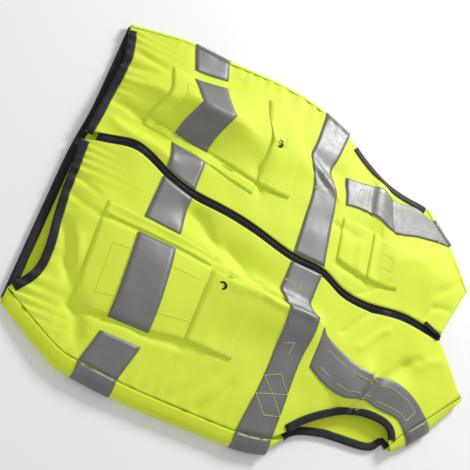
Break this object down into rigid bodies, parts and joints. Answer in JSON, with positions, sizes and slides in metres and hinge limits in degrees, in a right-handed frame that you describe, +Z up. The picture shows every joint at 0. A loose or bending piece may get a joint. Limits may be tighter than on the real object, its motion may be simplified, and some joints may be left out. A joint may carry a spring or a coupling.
{
  "type": "high-visibility work vest",
  "caption": "Sleeveless yellow work vest with a closed front zip, grey reflective tapes, flapped pockets and black bindings, laid flat on its back.",
  "frame": {"origin": "middle of the underside of the vest's box, on the surface that it lies on", "axes": "+Z up off the surface, +Y from the hem to the neck, +X toward the wearer's left"},
  "size_m": [0.523, 0.652, 0.0476],
  "materials": {
    "yellow_cloth": "thin woven polyester, fluorescent yellow, matt with a slight sheen",
    "reflective_tape": "grey glass-bead reflective tape, satin",
    "binding": "black woven elastic binding",
    "zip": "black woven zip tape and moulded coil",
    "zip_metal": "black enamelled metal",
    "snap": "black enamelled metal"
  },
  "bodies": {
    "vest": {"armhole_binding_back_left": "binding", "armhole_binding_back_right": "binding", "armhole_binding_front_left": "binding", "armhole_binding_front_right": "binding", "back": "yellow_cloth", "chest_flap": "yellow_cloth", "chest_pocket": "yellow_cloth", "chest_tape_back": "reflective_tape", "chest_tape_left": "reflective_tape", "chest_tape_right": "reflective_tape", "front_left": "yellow_cloth", "front_right": "yellow_cloth", "hem_binding_back": "binding", "hem_binding_front_left": "binding", "hem_binding_front_right": "binding", "lower_flap_left": "yellow_cloth", "lower_flap_right": "yellow_cloth", "lower_pocket_gusset_left": "yellow_cloth", "lower_pocket_gusset_right": "yellow_cloth", "lower_pocket_left": "yellow_cloth", "lower_pocket_right": "yellow_cloth", "shoulder_tape_back_left": "reflective_tape", "shoulder_tape_back_right": "reflective_tape", "shoulder_tape_front_left": "reflective_tape", "shoulder_tape_front_right": "reflective_tape", "snap_left": "snap", "snap_right": "snap", "waist_tape_back": "reflective_tape", "waist_tape_front_left": "reflective_tape", "waist_tape_front_right": "reflective_tape", "waist_tape_pocket_left": "reflective_tape", "waist_tape_pocket_right": "reflective_tape", "waist_tape_side_left": "reflective_tape", "waist_tape_side_right": "reflective_tape", "zip_coil": "zip", "zip_slider": "zip_metal", "zip_tape_left": "zip", "zip_tape_right": "zip"},
    "pull_tab": {"zip_pull_tab": "zip_metal"}
  },
  "joints": [
    {"name": "pull_tab_hinge", "type": "hinge", "parent": "vest", "child": "pull_tab", "pos_m": [-0.00541, 0.25976, 0.01828], "axis": [-0.9664, 0.2558, -0.0257], "range_deg": [0, 150]}
  ]
}
